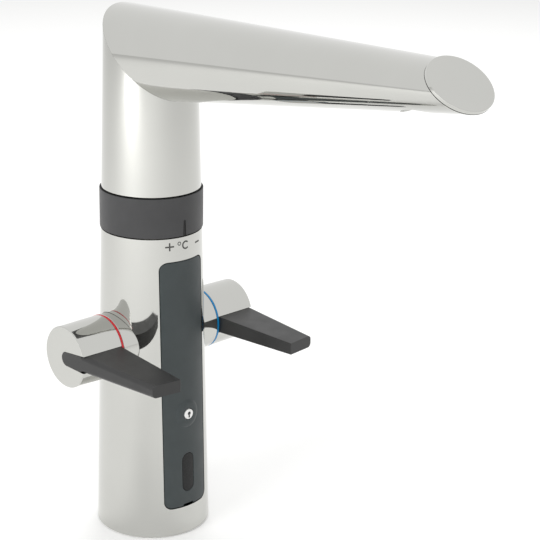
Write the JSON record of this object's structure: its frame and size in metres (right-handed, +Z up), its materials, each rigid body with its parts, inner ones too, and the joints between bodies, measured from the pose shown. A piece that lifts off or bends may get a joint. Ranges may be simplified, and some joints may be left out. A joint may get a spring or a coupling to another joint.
{
  "type": "touchless kitchen mixer tap",
  "caption": "Chromed column tap with two side levers, a temperature collar, a sensor panel with a push button and a swivelling sloped spout.",
  "frame": {"origin": "centre of the inlet block's underside, on the deck and on the column's axis", "axes": "+Z up along the column, -Y to the front, the way that the spout points at rest, +X to the cold side"},
  "size_m": [0.113, 0.2406, 0.2799],
  "materials": {
    "chrome": "mirror-polished chrome plate on brass",
    "brass": "machined, uncoated",
    "copper": "drawn copper tube",
    "steel": "stainless, fine brushed",
    "graphite_plastic": "fine matte moulded texture",
    "slate_plastic": "fine matte moulded texture",
    "black_plastic": "moulded",
    "window_plastic": "polished, infrared clear",
    "lens_plastic": "polished",
    "rubber": "moulded nitrile",
    "acetal": "turned and moulded acetal",
    "ceramic": "lapped alumina",
    "board": "glass-fibre laminate with solder mask",
    "button_white": "smooth moulded",
    "hot_red": "smooth moulded",
    "cold_blue": "smooth moulded"
  },
  "bodies": {
    "column": {"column_shell": "chrome", "deck_gasket": "rubber", "inlet_block": "brass", "base_set_screw": "steel", "supply_tubes": "copper", "tie_rods": "steel", "valve_core": "brass", "hot_headwork": "brass", "cold_headwork": "brass", "fixed_discs": "ceramic", "hot_neck": "chrome", "cold_neck": "chrome", "swivel_spigot": "brass", "spigot_seals": "rubber", "collar_washer": "acetal", "collar_stop_pin": "steel", "bearing_washer": "acetal", "swivel_stop_ring": "steel", "electronics_tray": "black_plastic", "tray_screws": "steel", "circuit_board": "board", "sensor_module": "black_plastic", "sensor_lenses": "lens_plastic", "button_switch": "steel", "battery_holder": "black_plastic", "battery_cell": "steel", "solenoid_coil": "black_plastic", "solenoid_tube": "steel", "front_panel": "slate_plastic", "sensor_window": "window_plastic"},
    "collar": {"temperature_collar": "graphite_plastic", "drive_plate": "brass", "mixing_sleeve": "acetal"},
    "spout": {"spout_riser": "chrome", "spout_arm": "chrome", "spout_end_plate": "chrome", "lower_bush": "acetal", "upper_bush": "acetal", "riser_set_screw": "steel", "tube_socket": "brass", "inner_tube": "acetal", "aerator_seat": "brass", "aerator_ring": "chrome", "aerator_insert": "acetal"},
    "hot_handle": {"hot_spindle": "brass", "hot_turning_disc": "ceramic", "hot_adapter": "acetal", "hot_hub": "chrome", "hot_lever": "graphite_plastic", "hot_ring": "hot_red", "hot_grub_screw": "steel"},
    "cold_handle": {"cold_spindle": "brass", "cold_turning_disc": "ceramic", "cold_adapter": "acetal", "cold_hub": "chrome", "cold_lever": "graphite_plastic", "cold_ring": "cold_blue", "cold_grub_screw": "steel"},
    "button": {"button_cap": "button_white"},
    "valve_plunger": {"solenoid_plunger": "steel"}
  },
  "joints": [
    {"name": "spout_swivel", "type": "hinge", "parent": "column", "child": "spout", "pos_m": [0, 0, 0.2], "axis": [0, 0, 1], "range_deg": [-60, 60]},
    {"name": "collar_turn", "type": "hinge", "parent": "column", "child": "collar", "pos_m": [0, 0, 0.174], "axis": [0, 0, 1], "range_deg": [-20.3, 21.7]},
    {"name": "hot_turn", "type": "hinge", "parent": "column", "child": "hot_handle", "pos_m": [-0.04, 0, 0.1052], "axis": [-1, 0, 0], "range_deg": [0, 90]},
    {"name": "cold_turn", "type": "hinge", "parent": "column", "child": "cold_handle", "pos_m": [0.04, 0, 0.1052], "axis": [-1, 0, 0], "range_deg": [0, 90]},
    {"name": "button_press", "type": "slide", "parent": "column", "child": "button", "axis": [0, 1, 0], "range_m": [0, 0.0008], "stiffness_N_per_m": 800, "springref_m": -0.001},
    {"name": "valve_lift", "type": "slide", "parent": "column", "child": "valve_plunger", "axis": [0, -1, 0], "range_m": [0, 0.0009], "stiffness_N_per_m": 300, "springref_m": -0.002}
  ]
}
